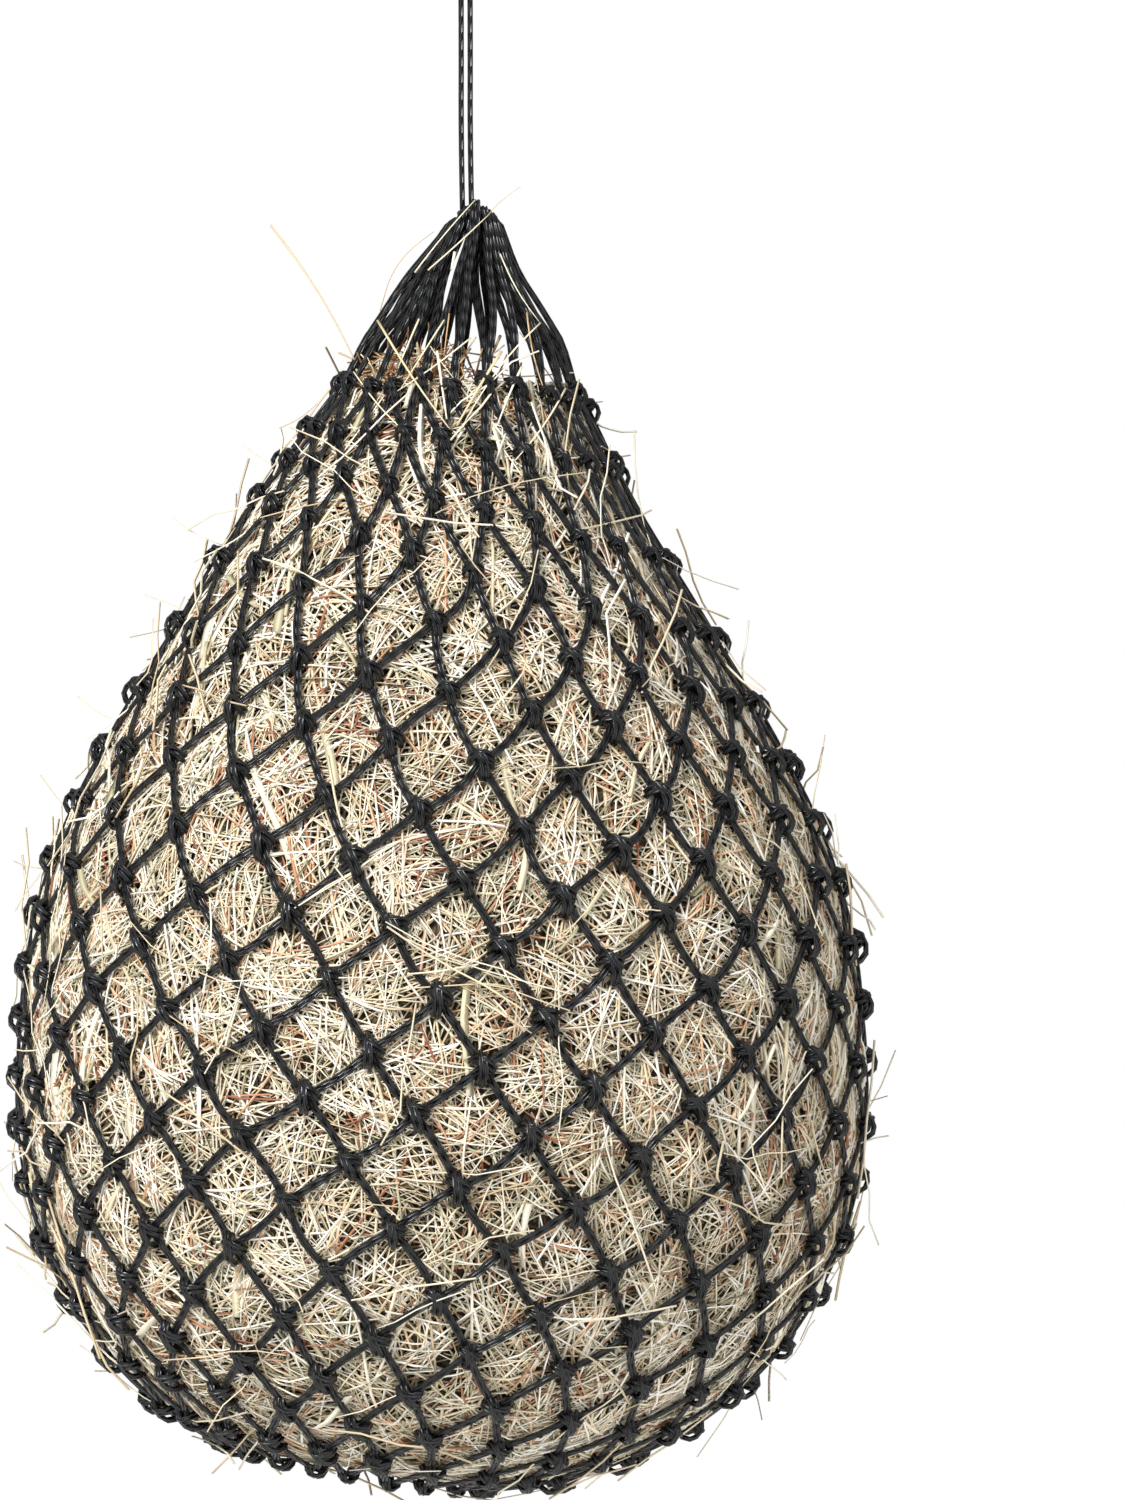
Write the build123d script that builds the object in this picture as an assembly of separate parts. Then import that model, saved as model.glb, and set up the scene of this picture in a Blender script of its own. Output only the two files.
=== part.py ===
from build123d import *
import math
import os

# A filled hay net hanging by its drawcord. Millimetres, +Z up, +X to the viewer's right, +Y away from the viewer.
# The origin is the inside top of the hanging loop, where a hook carries it, and the bag hangs down -Z.

# ---- driving dimensions ----------------------------------------------------------------------
CORD = 3.4              # drawcord, across
LOOP_WIDE = 27.0        # hanging loop, between the middles of its two sides
LOOP_LONG = 75.0        # hook point down to the top of the end knot
END_KNOT = 20.0         # overhand knot below the loop, across
FALL_GAP = 5.4          # between the middles of the two falls
MOUTH_DROP = 233.0      # hook point down to the drawn mouth
MOUTH_RING = 15.5       # radius of the drawcord ring that draws the mouth shut
RUNNING = 0.3           # clearance between pieces that swing on each other

TWINE = 5.2             # net twine, across
MESHES = 24             # meshes round the net
BAR = 47.0              # one side of a mesh, from knot to knot
KNOT_LONG = 12.5        # sheet bend, along and across the row
KNOT_DEEP = 9.4         # sheet bend, through the net
KNOT_SPAN = 6.0         # where the twine's two legs leave a knot, apart
TWINE_BEND = TWINE / 2 + RUNNING   # bend of the twine in a knot
LOOP_TWINE = 3.8        # mouth and base loops, drawn thin, across

NECK_LONG = 103.0       # mouth down to the top row of knots
NECK_WIDE = 69.0        # radius of the top row of knots
CONE_SLOPE = 0.62       # how fast the neck of the bag widens
BODY_LONG = 417.0       # top row of knots down to the largest radius
BELLY = 253.0           # largest radius, to the middle of the twine
SHOULDER_OVER = 53.0    # the round that the neck runs into would close this far above the top row
SHOULDER_BLEND = 14.0   # how sharply neck and round meet
NECK_REACH = 230.0      # height above the belly at which the neck has its full slope
BASE_DEEP = 244.0       # largest radius down to the base
BASE_ROUND = 2.2        # 2 is an ellipse, more is squarer
LAST_ROW = 58.0         # least radius of a row of knots at the base
BASE_RING = 17.0        # radius of the cord that gathers the base
BASE_KNOT = 11.0        # knot of that cord, across

TURN = 10.5             # the mesh lies turned on the hay by this much, degrees
TURN_OVER = 180.0       # length of net over which that turn grows
TURN_RISE = 53.0        # it turns about a point this far above the largest radius
LEAN = 14.0             # the bag hangs this far to the side of its cord
LEAN_START = 52.0       # mouth down to where it starts to lean
LEAN_LONG = 145.0       # length over which that lean grows

HAY_CLEAR = 1.8         # knots in to the hay
BASE_CLEAR = 6.1        # base loops in to the hay
HAY_DROP = 10.0         # top row of knots down to the hay
FLAKE_CUTS = (283.0, 153.0, 23.0, -107.0)   # where one flake of hay lies on the next, above the largest radius
FLAKE_GAP = 0.6
FLAKE_STEPS = 5         # outline sections in one flake

# ---- heights and gaps that follow from those ----------------------------------------------------
MOUTH = -MOUTH_DROP
FIRST_ROW = (NECK_WIDE, MOUTH - NECK_LONG)   # radius and height of the top row of knots
BELLY_DROP = MOUTH_DROP + NECK_LONG + BODY_LONG
SHOULDER = BODY_LONG + SHOULDER_OVER
TURN_CENTRE = -BELLY_DROP + TURN_RISE
LEAN_FROM = MOUTH - LEAN_START
HAY_TOP = FIRST_ROW[1] - HAY_DROP
HAY_GAP = KNOT_DEEP / 2 + HAY_CLEAR          # middle of the twine in to the hay


# ---- the bag's outline -----------------------------------------------------------------------
def smooth(t):
    t = min(max(t, 0.0), 1.0)
    return t * t * (3 - 2 * t)


def lean(z):
    """Sideways offset of the bag's middle at a height."""
    return -LEAN * smooth((LEAN_FROM - z) / LEAN_LONG)


def bag_radius(z, inset=0.0):
    """Radius to the middle of the twine: a cone running into a round above the belly, a squarish bowl below."""
    below = -BELLY_DROP - z
    if below >= 0:
        share = min(below / (BASE_DEEP - inset), 1.0)
        return (BELLY - inset) * (1 - share ** BASE_ROUND) ** (1 / BASE_ROUND)
    cone = FIRST_ROW[0] + CONE_SLOPE * (FIRST_ROW[1] - z)
    round_part = BELLY * math.sqrt(1 - min(-below / SHOULDER, 0.99) ** 2)
    blended = (cone ** -SHOULDER_BLEND + round_part ** -SHOULDER_BLEND) ** (-1 / SHOULDER_BLEND)
    steepness = math.hypot(1, CONE_SLOPE * smooth(-below / NECK_REACH))
    return blended - inset * steepness


def outline():
    """Fine (radius, height, length from the first row) steps down the bag."""
    steps = 400
    heights = [FIRST_ROW[1] + (-BELLY_DROP - FIRST_ROW[1]) * i / steps for i in range(steps)]
    heights += [-BELLY_DROP - BASE_DEEP * math.sin(math.pi / 2 * i / steps) for i in range(steps + 1)]
    points, run = [], 0.0
    for z in heights:
        r = bag_radius(z)
        if points:
            run += math.hypot(r - points[-1][0], z - points[-1][1])
        points.append((r, z, run))
    return points


OUTLINE = outline()


def down_net(run):
    """(radius, height) at a length down the net from the first row."""
    for (r0, z0, s0), (r1, z1, s1) in zip(OUTLINE, OUTLINE[1:]):
        if run <= s1:
            share = (run - s0) / (s1 - s0)
            return r0 + (r1 - r0) * share, z0 + (z1 - z0) * share
    return OUTLINE[-1][0], OUTLINE[-1][1]


def row_lengths():
    """Length down the net of each row of knots, from the size of a mesh."""
    rows = [0.0]
    while True:
        half_mesh = math.pi * down_net(rows[-1])[0] / MESHES
        following = rows[-1] + math.sqrt(BAR ** 2 - half_mesh ** 2)
        r, z = down_net(following)
        if z < -BELLY_DROP and r < LAST_ROW:
            return rows
        rows.append(following)


ROWS = row_lengths()


def inside_bag(x, y, z):
    return -BELLY_DROP - BASE_DEEP < z and math.hypot(x, y) < bag_radius(z)


def turned(x, y, z, share):
    """A point of the net turned about the bag's middle by a share of TURN, and laid back on the outline."""
    angle = math.radians(TURN) * share
    up = z - TURN_CENTRE
    away = (x * math.cos(angle) + up * math.sin(angle), y, up * math.cos(angle) - x * math.sin(angle))
    near, far = 0.6, 1.4
    for _ in range(40):
        middle = (near + far) / 2
        if inside_bag(away[0] * middle, away[1] * middle, TURN_CENTRE + away[2] * middle):
            near = middle
        else:
            far = middle
    place = TURN_CENTRE + away[2] * near
    return Vector(away[0] * near + lean(place), away[1] * near, place)


def net_point(run, turn):
    """A point of the net from its length down the net and its turn round the bag, counted in meshes."""
    r, z = down_net(run)
    angle = 2 * math.pi * turn / MESHES
    return turned(r * math.cos(angle), r * math.sin(angle), z, smooth(run / TURN_OVER))


def knot(row, number):
    """Middle of a knot, and the unit directions along its row and out of the net."""
    turn = number + 0.5 * (row % 2)
    along = (net_point(ROWS[row], turn + 0.2) - net_point(ROWS[row], turn - 0.2)).normalized()
    run = min(ROWS[row], ROWS[-1] - 1)
    down = (net_point(run + 1, turn) - net_point(run, turn)).normalized()
    return net_point(ROWS[row], turn), along, along.cross(down).normalized()


# ---- shapes ----------------------------------------------------------------------------------
def tube(points, across, bends, closed=False):
    """A tube of straight runs and tangent arcs."""
    path = FilletPolyline(*points, radius=bends, close=closed).wire()
    return sweep(Plane(path @ 0, z_dir=path % 0) * Circle(across / 2), path=path)


def rod(start, end, across):
    run = end - start
    return Plane(start, z_dir=run) * Cylinder(across / 2, run.length, align=(Align.CENTER, Align.CENTER, Align.MIN))


# ---- drawcord --------------------------------------------------------------------------------
KNOT_Z = -LOOP_LONG - END_KNOT / 2


def hanging_loop():
    """The bight that goes over the hook, its two ends running into the end knot."""
    top = CORD / 2
    legs = FALL_GAP / 2
    side = LOOP_WIDE / 2
    points = [(-legs, 0, KNOT_Z), (-legs - 1.6, 0, -LOOP_LONG + 12), (-side, 0, -32), (-side, 0, top)]
    points += [(-x, y, z) for x, y, z in reversed(points)]
    top_bend = 0.45 * LOOP_WIDE
    bends = [16.0, 22.0, top_bend, top_bend, 22.0, 16.0]
    print("hanging loop bends, mm:", bends)
    loop = tube(points, CORD, bends)
    return loop - Pos(0, 0, KNOT_Z) * Sphere(END_KNOT / 2 + RUNNING)


def fall(side):
    """One of the two straight cords from the end knot down to the mouth."""
    x = side * FALL_GAP / 2
    low = MOUTH + CORD / 2 + RUNNING
    cord = rod(Vector(x, 0, low), Vector(x, 0, KNOT_Z), CORD)
    return cord - Pos(0, 0, KNOT_Z) * Sphere(END_KNOT / 2 + RUNNING)


def mouth_cord():
    """The ring of drawcord through the mouth loops, and the crossing that the falls hang it from."""
    ring = Torus(MOUTH_RING, CORD / 2)
    crossing = Rot(0, 90, 0) * Cylinder(CORD / 2, 2 * MOUTH_RING)
    return Pos(0, 0, MOUTH) * (ring + crossing)


# ---- net -------------------------------------------------------------------------------------
NECK = ((MOUTH_RING, MOUTH), (MOUTH_RING + 7.5, MOUTH - 23.0), (MOUTH_RING + 25.5, MOUTH - 51.0))   # radius, height


def mouth_loops():
    """Long first meshes drawn together on the mouth cord, down the outline of the neck."""
    loops = []
    for number in range(MESHES):
        angle = 2 * math.pi * number / MESHES
        points = [Vector(r * math.cos(angle) + lean(z), r * math.sin(angle), z) for r, z in NECK]
        points.append(knot(0, number)[0])
        loops.append(tube(points, LOOP_TWINE, [20.0, 40.0]))
    return loops


def course(row):
    """One course of netting: a zigzag of twine round the bag with its row of knots."""
    legs = []
    knots = []
    for number in range(MESHES):
        for place in (knot(row, number), knot(row + 1, number + row % 2)):
            middle, along = place[:2]
            legs += [middle - along * (KNOT_SPAN / 2), middle + along * (KNOT_SPAN / 2)]
        middle, along, out = knot(row, number)
        knots.append(Plane(middle, x_dir=along, z_dir=out) * Box(KNOT_LONG, KNOT_LONG, KNOT_DEEP))
    return tube(legs, TWINE, TWINE_BEND, closed=True).fuse(*knots)


def base_frame():
    """Plane through the last row of knots, looking out of the bag, where the base is gathered."""
    last = [knot(len(ROWS) - 1, number)[0] for number in range(MESHES)]
    middle = sum(last, Vector()) / MESHES
    out = (last[0] - middle).cross(last[MESHES // 4] - middle).normalized()
    if out.Z > 0:
        out = -out
    return Plane(middle, z_dir=out)


def base_loops():
    """The last meshes, drawn in to the base cord."""
    frame = base_frame()
    loops = []
    for number in range(MESHES):
        end = knot(len(ROWS) - 1, number)[0]
        inward = (end - frame.origin).normalized()
        loops.append(rod(frame.origin + inward * BASE_RING, end, LOOP_TWINE))
    return loops


def base_cord():
    return base_frame() * Torus(BASE_RING, CORD / 2)


def base_knot():
    """Reef knot that ties the base cord, seated on its ring."""
    seat = BASE_RING - CORD / 2 - BASE_KNOT / 2 + 1.0
    return base_frame() * Pos(seat, 0, 0) * Sphere(BASE_KNOT / 2)


# ---- hay -------------------------------------------------------------------------------------
def hay_flake(top, bottom):
    """One flake of the hay load: a stack of round sections just inside the net."""
    sections = []
    for step in range(FLAKE_STEPS + 1):
        z = top + (bottom - top) * math.sin(math.pi / 2 * step / FLAKE_STEPS)
        sections.append(Plane((lean(z), 0, z)) * Circle(bag_radius(z, HAY_GAP)))
    return loft(sections, ruled=True)


def hay_flakes():
    lowest = -BELLY_DROP - (BASE_DEEP - HAY_GAP) * 0.985
    cuts = (HAY_TOP,) + tuple(rise - BELLY_DROP for rise in FLAKE_CUTS) + (lowest,)
    flakes = [hay_flake(top - FLAKE_GAP / 2, low + FLAKE_GAP / 2) for top, low in zip(cuts, cuts[1:])]
    flakes[-1] = split(flakes[-1], base_frame().offset(-BASE_CLEAR - LOOP_TWINE / 2), keep=Keep.BOTTOM)
    return flakes


# ---- write -----------------------------------------------------------------------------------
def save(name, shape):
    solid = Compound(shape) if isinstance(shape, list) else shape
    export_step(solid, f"parts/{name}.step")


def main():
    os.makedirs("parts", exist_ok=True)
    save("hanging_loop", hanging_loop())
    save("end_knot", Pos(0, 0, KNOT_Z) * Sphere(END_KNOT / 2))
    save("fall_left", fall(-1))
    save("fall_right", fall(1))
    save("mouth_cord", mouth_cord())
    save("mouth_loops", mouth_loops())
    for row in range(len(ROWS) - 1):
        save(f"net_course_{row + 1:02d}", course(row))
    save("base_loops", base_loops())
    save("base_cord", base_cord())
    save("base_knot", base_knot())
    for number, flake in enumerate(hay_flakes(), 1):
        save(f"hay_flake_{number}", flake)
    print("courses", len(ROWS) - 1, "net length down the side", round(ROWS[-1]))


main()
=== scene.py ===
import math

import bpy
import numpy as np
from mathutils import Matrix, Vector, kdtree


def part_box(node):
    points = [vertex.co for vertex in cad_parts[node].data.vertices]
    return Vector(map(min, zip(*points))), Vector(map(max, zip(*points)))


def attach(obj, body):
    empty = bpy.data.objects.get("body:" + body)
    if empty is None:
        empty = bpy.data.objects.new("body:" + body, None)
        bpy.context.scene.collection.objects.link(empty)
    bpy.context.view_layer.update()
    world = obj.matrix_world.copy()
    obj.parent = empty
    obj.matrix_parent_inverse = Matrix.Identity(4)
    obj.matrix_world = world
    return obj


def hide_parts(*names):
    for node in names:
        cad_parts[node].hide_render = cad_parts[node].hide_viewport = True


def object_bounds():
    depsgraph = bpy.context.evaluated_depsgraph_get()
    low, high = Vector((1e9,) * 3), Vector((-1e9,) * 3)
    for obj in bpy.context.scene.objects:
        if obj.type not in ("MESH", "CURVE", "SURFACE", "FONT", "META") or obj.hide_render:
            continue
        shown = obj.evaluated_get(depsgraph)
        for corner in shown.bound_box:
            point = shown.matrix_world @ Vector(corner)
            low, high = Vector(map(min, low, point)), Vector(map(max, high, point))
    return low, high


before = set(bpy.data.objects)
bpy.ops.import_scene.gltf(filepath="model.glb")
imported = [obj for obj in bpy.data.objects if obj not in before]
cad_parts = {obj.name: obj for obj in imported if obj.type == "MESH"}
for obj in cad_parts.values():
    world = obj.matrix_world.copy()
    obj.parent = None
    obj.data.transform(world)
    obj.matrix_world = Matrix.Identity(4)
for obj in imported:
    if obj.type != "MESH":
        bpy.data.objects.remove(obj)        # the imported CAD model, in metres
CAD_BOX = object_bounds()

bl_info = {
    "name": "Filled hay net",
    "version": (1, 0, 0),
    "blender": (4, 5, 0),
    "location": "View3D > Sidebar > Hay Net",
    "description": "Builds the netting, drawcord and hay of a filled hay net round its CAD frame",
    "category": "Object",
}

# ---- places taken from the frame, in metres ----
MOUTH = sum(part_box("mouth_cord"), Vector()) / 2          # middle of the drawn mouth
END_KNOT = sum(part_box("end_knot"), Vector()) / 2         # middle of the knot below the hanging loop
COURSES = sorted(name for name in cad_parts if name.startswith("net_course_"))
FLAKES = sorted(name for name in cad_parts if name.startswith("hay_flake_"))

# ---- the net's rule, the same as the CAD's, in metres ----
MESHES = 24
BAR = 0.047
FIRST_RADIUS, FIRST_Z = 0.069, -0.336
CONE_SLOPE = 0.62
BELLY, BELLY_Z = 0.253, -0.753
SHOULDER, SHOULDER_BLEND = 0.470, 14.0
BASE_DEEP, BASE_ROUND = 0.244, 2.2
TURN, TURN_OVER, TURN_CENTRE = math.radians(10.5), 0.180, -0.700
LEAN, LEAN_FROM, LEAN_TO = 0.014, -0.285, -0.430


def smooth(t):
    """An easy step from 0 to 1."""
    t = np.clip(t, 0.0, 1.0)
    return t * t * (3 - 2 * t)


def lean(z):
    """How far the bag hangs to the side at a height."""
    return -LEAN * smooth((LEAN_FROM - z) / (LEAN_FROM - LEAN_TO))


def bag_radius(z):
    """Radius of the net at a height: a cone running into a round above the belly, a squarish bowl below."""
    z = np.asarray(z, float)
    below = BELLY_Z - z
    share = np.clip(below / BASE_DEEP, 0.0, 1.0)
    bowl = BELLY * (1 - share ** BASE_ROUND) ** (1 / BASE_ROUND)
    cone = np.maximum(FIRST_RADIUS + CONE_SLOPE * (FIRST_Z - z), 1e-3)
    dome = BELLY * np.sqrt(1 - np.clip(-below / SHOULDER, 0.0, 0.99) ** 2)
    neck = (cone ** -SHOULDER_BLEND + dome ** -SHOULDER_BLEND) ** (-1 / SHOULDER_BLEND)
    return np.where(below >= 0, bowl, neck)


def outline():
    """Fine steps down the bag: radius, height and length from the first row of knots."""
    steps = 600
    upper = np.linspace(FIRST_Z, BELLY_Z, steps, endpoint=False)
    lower = BELLY_Z - BASE_DEEP * np.sin(np.linspace(0, math.pi / 2, steps))
    z = np.concatenate([upper, lower])
    r = bag_radius(z)
    run = np.concatenate([[0.0], np.cumsum(np.hypot(np.diff(r), np.diff(z)))])
    return r, z, run


OUT_R, OUT_Z, OUT_RUN = outline()


def row_lengths():
    """Length down the net of each row of knots, one for each course and one below the last."""
    rows = [0.0]
    for _ in COURSES:
        half_mesh = math.pi * np.interp(rows[-1], OUT_RUN, OUT_R) / MESHES
        rows.append(rows[-1] + math.sqrt(BAR ** 2 - half_mesh ** 2))
    return rows


ROWS = row_lengths()


def net_points(run, turn):
    """Points of the net from lengths down it and turns round it in meshes, with the mesh lying askew."""
    run, turn = np.broadcast_arrays(np.asarray(run, float), np.asarray(turn, float))
    r, z = np.interp(run, OUT_RUN, OUT_R), np.interp(run, OUT_RUN, OUT_Z)
    angle = 2 * math.pi * turn / MESHES
    x, y, up = r * np.cos(angle), r * np.sin(angle), z - TURN_CENTRE
    askew = TURN * smooth(run / TURN_OVER)
    along, rise = np.cos(askew), np.sin(askew)
    away = np.stack([x * along + up * rise, y, up * along - x * rise], -1)
    near, far = np.full(run.shape, 0.6), np.full(run.shape, 1.4)
    for _ in range(30):
        middle = (near + far) / 2
        high = TURN_CENTRE + away[..., 2] * middle
        inside = np.hypot(away[..., 0], away[..., 1]) * middle < bag_radius(high)
        inside &= high > BELLY_Z - BASE_DEEP
        near, far = np.where(inside, middle, near), np.where(inside, far, middle)
    places = away * near[..., None]
    places[..., 2] += TURN_CENTRE
    places[..., 0] += lean(places[..., 2])
    return places


def unit(v):
    """Vectors made one long."""
    return v / np.maximum(np.linalg.norm(v, axis=-1, keepdims=True), 1e-12)


def net_frames(run, turn):
    """Points of the net with the directions round it, down it and out of it."""
    step = 0.002
    run = np.clip(np.asarray(run, float), 0, OUT_RUN[-1] - 2 * step)
    here = net_points(run, turn)
    around = unit(net_points(run, np.asarray(turn) + 0.1) - net_points(run, np.asarray(turn) - 0.1))
    down = unit(net_points(run + step, turn) - here)
    out = unit(np.cross(down, around))
    return here, around, down, out


# ---- small builders ----
def linear(hex_colour):
    """An sRGB hex colour as linear RGBA."""
    parts = [int(hex_colour[i:i + 2], 16) / 255 for i in (1, 3, 5)]
    return tuple(c / 12.92 if c <= 0.04045 else ((c + 0.055) / 1.055) ** 2.4 for c in parts) + (1.0,)


def add(tree, kind, links=(), **settings):
    """Adds a node: settings are its properties, links are (input name or number, value or output) pairs."""
    node = tree.nodes.new(kind)
    for name, value in settings.items():
        setattr(node, name, value)
    for name, value in links:
        if isinstance(value, bpy.types.NodeSocket):
            tree.links.new(value, node.inputs[name])
        else:
            node.inputs[name].default_value = value
    return node


def out_of(tree, kind, links=(), **settings):
    """The first output of an added node."""
    return add(tree, kind, links, **settings).outputs[0]


def math_of(tree, operation, *values):
    """The result of a maths node on values or outputs."""
    return out_of(tree, "ShaderNodeMath", list(enumerate(values)), operation=operation)


def ranged(tree, value, low, high, *more):
    """A value from 0 to 1 mapped onto a range from low to high."""
    return out_of(tree, "ShaderNodeMapRange", [("Value", value), (3, low), (4, high), *more])


def attribute(tree, name):
    """A value that the mesh carries at each point, inside a material."""
    return add(tree, "ShaderNodeAttribute", attribute_name=name).outputs["Fac"]


def shader(name, roughness):
    """A new material, its tree and its Principled shader."""
    material = bpy.data.materials.new(name)
    material.use_nodes = True
    tree = material.node_tree
    principled = tree.nodes["Principled BSDF"]
    principled.inputs["Roughness"].default_value = roughness
    return material, tree, principled


def link_object(name, data):
    """A new object in the scene."""
    made = bpy.data.objects.new(name, data)
    bpy.context.scene.collection.objects.link(made)
    return made


def new_mesh(name, points, edges=(), faces=()):
    """A mesh of plain points, edges and faces."""
    mesh = bpy.data.meshes.new(name)
    mesh.from_pydata([tuple(p) for p in points], [tuple(e) for e in edges], [tuple(f) for f in faces])
    return mesh


def give(mesh, name, values, kind="FLOAT"):
    """Stores one value for each vertex under a name."""
    layer = mesh.attributes.new(name, kind, "POINT")
    part = "vector" if kind == "FLOAT_VECTOR" else "value"
    layer.data.foreach_set(part, np.asarray(values, float).ravel())


def tree_with(name, inputs):
    """A geometry tree with the named inputs, as (name, socket kind) pairs, besides its geometry."""
    tree = bpy.data.node_groups.new(name, "GeometryNodeTree")
    tree.interface.new_socket("Geometry", in_out="INPUT", socket_type="NodeSocketGeometry")
    for label, kind in inputs:
        tree.interface.new_socket(label, in_out="INPUT", socket_type=kind)
    tree.interface.new_socket("Geometry", in_out="OUTPUT", socket_type="NodeSocketGeometry")
    return tree, tree.nodes.new("NodeGroupInput").outputs, tree.nodes.new("NodeGroupOutput").inputs


def grown(carrier, tree, values, name, material):
    """Runs a geometry tree on a carrier object and keeps the result as a plain mesh object."""
    modifier = carrier.modifiers.new("grow", "NODES")
    modifier.node_group = tree
    for item in tree.interface.items_tree:
        if item.in_out == "INPUT" and item.name in values:
            modifier[item.identifier] = values[item.name]
    carrier.update_tag()
    evaluated = carrier.evaluated_get(bpy.context.evaluated_depsgraph_get())
    mesh = bpy.data.meshes.new_from_object(evaluated)
    carrier.modifiers.remove(modifier)
    mesh.name = name
    mesh.materials.clear()
    mesh.materials.append(material)
    mesh.polygons.foreach_set("material_index", np.zeros(len(mesh.polygons), np.int32))
    return link_object(name, mesh)


def lay_bake_map(mesh, across_name, spread):
    """The map a stem's colours are laid out by: its tint across, its length up, so like stems share a place.
    """
    tint = values_of(mesh, "tint")
    along = values_of(mesh, "along")
    side = values_of(mesh, across_name)
    corner = np.empty(len(mesh.loops), np.int32)
    mesh.loops.foreach_get("vertex_index", corner)
    u = 0.02 + 0.96 * tint + spread * (side - 0.5)
    v = 0.04 + 0.92 * along
    layer = mesh.uv_layers.new(name="OFBake")
    layer.uv.foreach_set("vector", np.stack([u[corner], v[corner]], -1).astype(np.float32).ravel())


def values_of(mesh, name):
    """The value that each vertex carries under a name."""
    found = np.zeros(len(mesh.vertices), np.float32)
    mesh.attributes[name].data.foreach_get("value", found)
    return found


# ---- sizes and colours a user would change ----
def metres(name, description, default):
    """A length that a user can change."""
    return bpy.props.FloatProperty(name=name, description=description, default=default, unit="LENGTH")


def colour_of(name, description, default):
    """A colour that a user can change, as sRGB hex."""
    return bpy.props.StringProperty(name=name, description=description, default=default)


class NettingSizes(bpy.types.PropertyGroup):
    strand: metres("Strand", "Across one of the two strands of the twine", 0.0025)
    strand_gap: metres("Strand spacing", "Between the middles of the two strands", 0.0022)
    plait: metres("Plait", "From one ridge of the plait to the next", 0.0100)
    colour: colour_of("Twine colour", "sRGB hex", "#08090B")
    # the paler colour on the ridges of the twine is a painted glint
    painted_glint: colour_of("Painted glint colour", "sRGB hex, on the ridges", "#1E2025")
    proud: metres("Proud", "How far the twine lies out on the hay", 0.0016)
    slack: metres("Slack", "How far knots wander from an even net", 0.0022)


class HaySizes(bpy.types.PropertyGroup):
    bulge: metres("Bulge", "How far hay stands out in the middle of a mesh", -0.0008)
    press: metres("Press", "How far the twine presses the hay in", 0.0042)
    cover: metres("Cover", "Depth of loose stems over the pressed bed", 0.0032)
    stem: metres("Stem", "Across a common stem", 0.0019)
    seed: bpy.props.IntProperty(name="Seed", description="Chooses another lie of the stems", default=7)


class CordSizes(bpy.types.PropertyGroup):
    across: metres("Drawcord", "Across the drawcord", 0.0034)
    gap: metres("Fall spacing", "Between the middles of the two falls", 0.0054)


# ---- materials ----
RIDGES = 3.2              # ridges and valleys of the filaments across half of a strand
STEM_SHOULDER = 0.30      # how far from a stem's middle its ends start to darken, as a share of its length


def braided_twine(name, sizes):
    """Braided polypropylene twine: near black, its filaments glossier on their ridges, with a paler colour
    there as a painted glint.
    """
    material, tree, principled = shader(name, 0.36)
    principled.inputs["Specular IOR Level"].default_value = 0.5
    turns = math_of(tree, "MULTIPLY", attribute(tree, "along"), 2 / sizes.plait)
    slant = math_of(tree, "MULTIPLY_ADD", attribute(tree, "around"), RIDGES, turns)
    ridge = math_of(tree, "PINGPONG", slant, 1.0)
    bump = add(tree, "ShaderNodeBump", [("Height", ridge), ("Strength", 1.0), ("Distance", 0.0010)])
    tree.links.new(bump.outputs[0], principled.inputs["Normal"])
    tree.links.new(ranged(tree, ridge, 0.50, 0.22), principled.inputs["Roughness"])
    # paler colour on each filament ridge: a painted glint
    painted_glint = ranged(tree, ridge, 0.0, 1.0, (1, 0.55))
    colour = add(tree, "ShaderNodeMix", [("Factor", painted_glint)], data_type="RGBA")
    colour.inputs["A"].default_value = linear(sizes.colour)
    colour.inputs["B"].default_value = linear(sizes.painted_glint)
    tree.links.new(colour.outputs["Result"], principled.inputs["Base Color"])
    return material


def dry_stems(name, stops):
    """Dried grass: each stem keeps one tint of the range, paler in its middle than at its cut ends."""
    material, tree, principled = shader(name, 0.55)
    principled.inputs["Specular IOR Level"].default_value = 0.45
    ramp = add(tree, "ShaderNodeValToRGB", [("Fac", attribute(tree, "tint"))])
    fill_ramp(ramp.color_ramp, stops)
    ends = math_of(tree, "ABSOLUTE", math_of(tree, "SUBTRACT", attribute(tree, "along"), 0.5))
    shade = ranged(tree, ends, 1.0, 0.78, (1, STEM_SHOULDER), (2, 0.5))
    colour = add(tree, "ShaderNodeMix", [("Factor", 1.0)], data_type="RGBA", blend_type="MULTIPLY")
    tree.links.new(ramp.outputs[0], colour.inputs["A"])
    tree.links.new(shade, colour.inputs["B"])
    tree.links.new(colour.outputs["Result"], principled.inputs["Base Color"])
    return material


def fill_ramp(ramp, stops):
    """Sets a colour ramp's stops from (place, hex colour) pairs."""
    while len(ramp.elements) > 1:
        ramp.elements.remove(ramp.elements[-1])
    ramp.elements[0].position, ramp.elements[0].color = stops[0][0], linear(stops[0][1])
    for place, colour in stops[1:]:
        ramp.elements.new(place).color = linear(colour)


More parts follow.
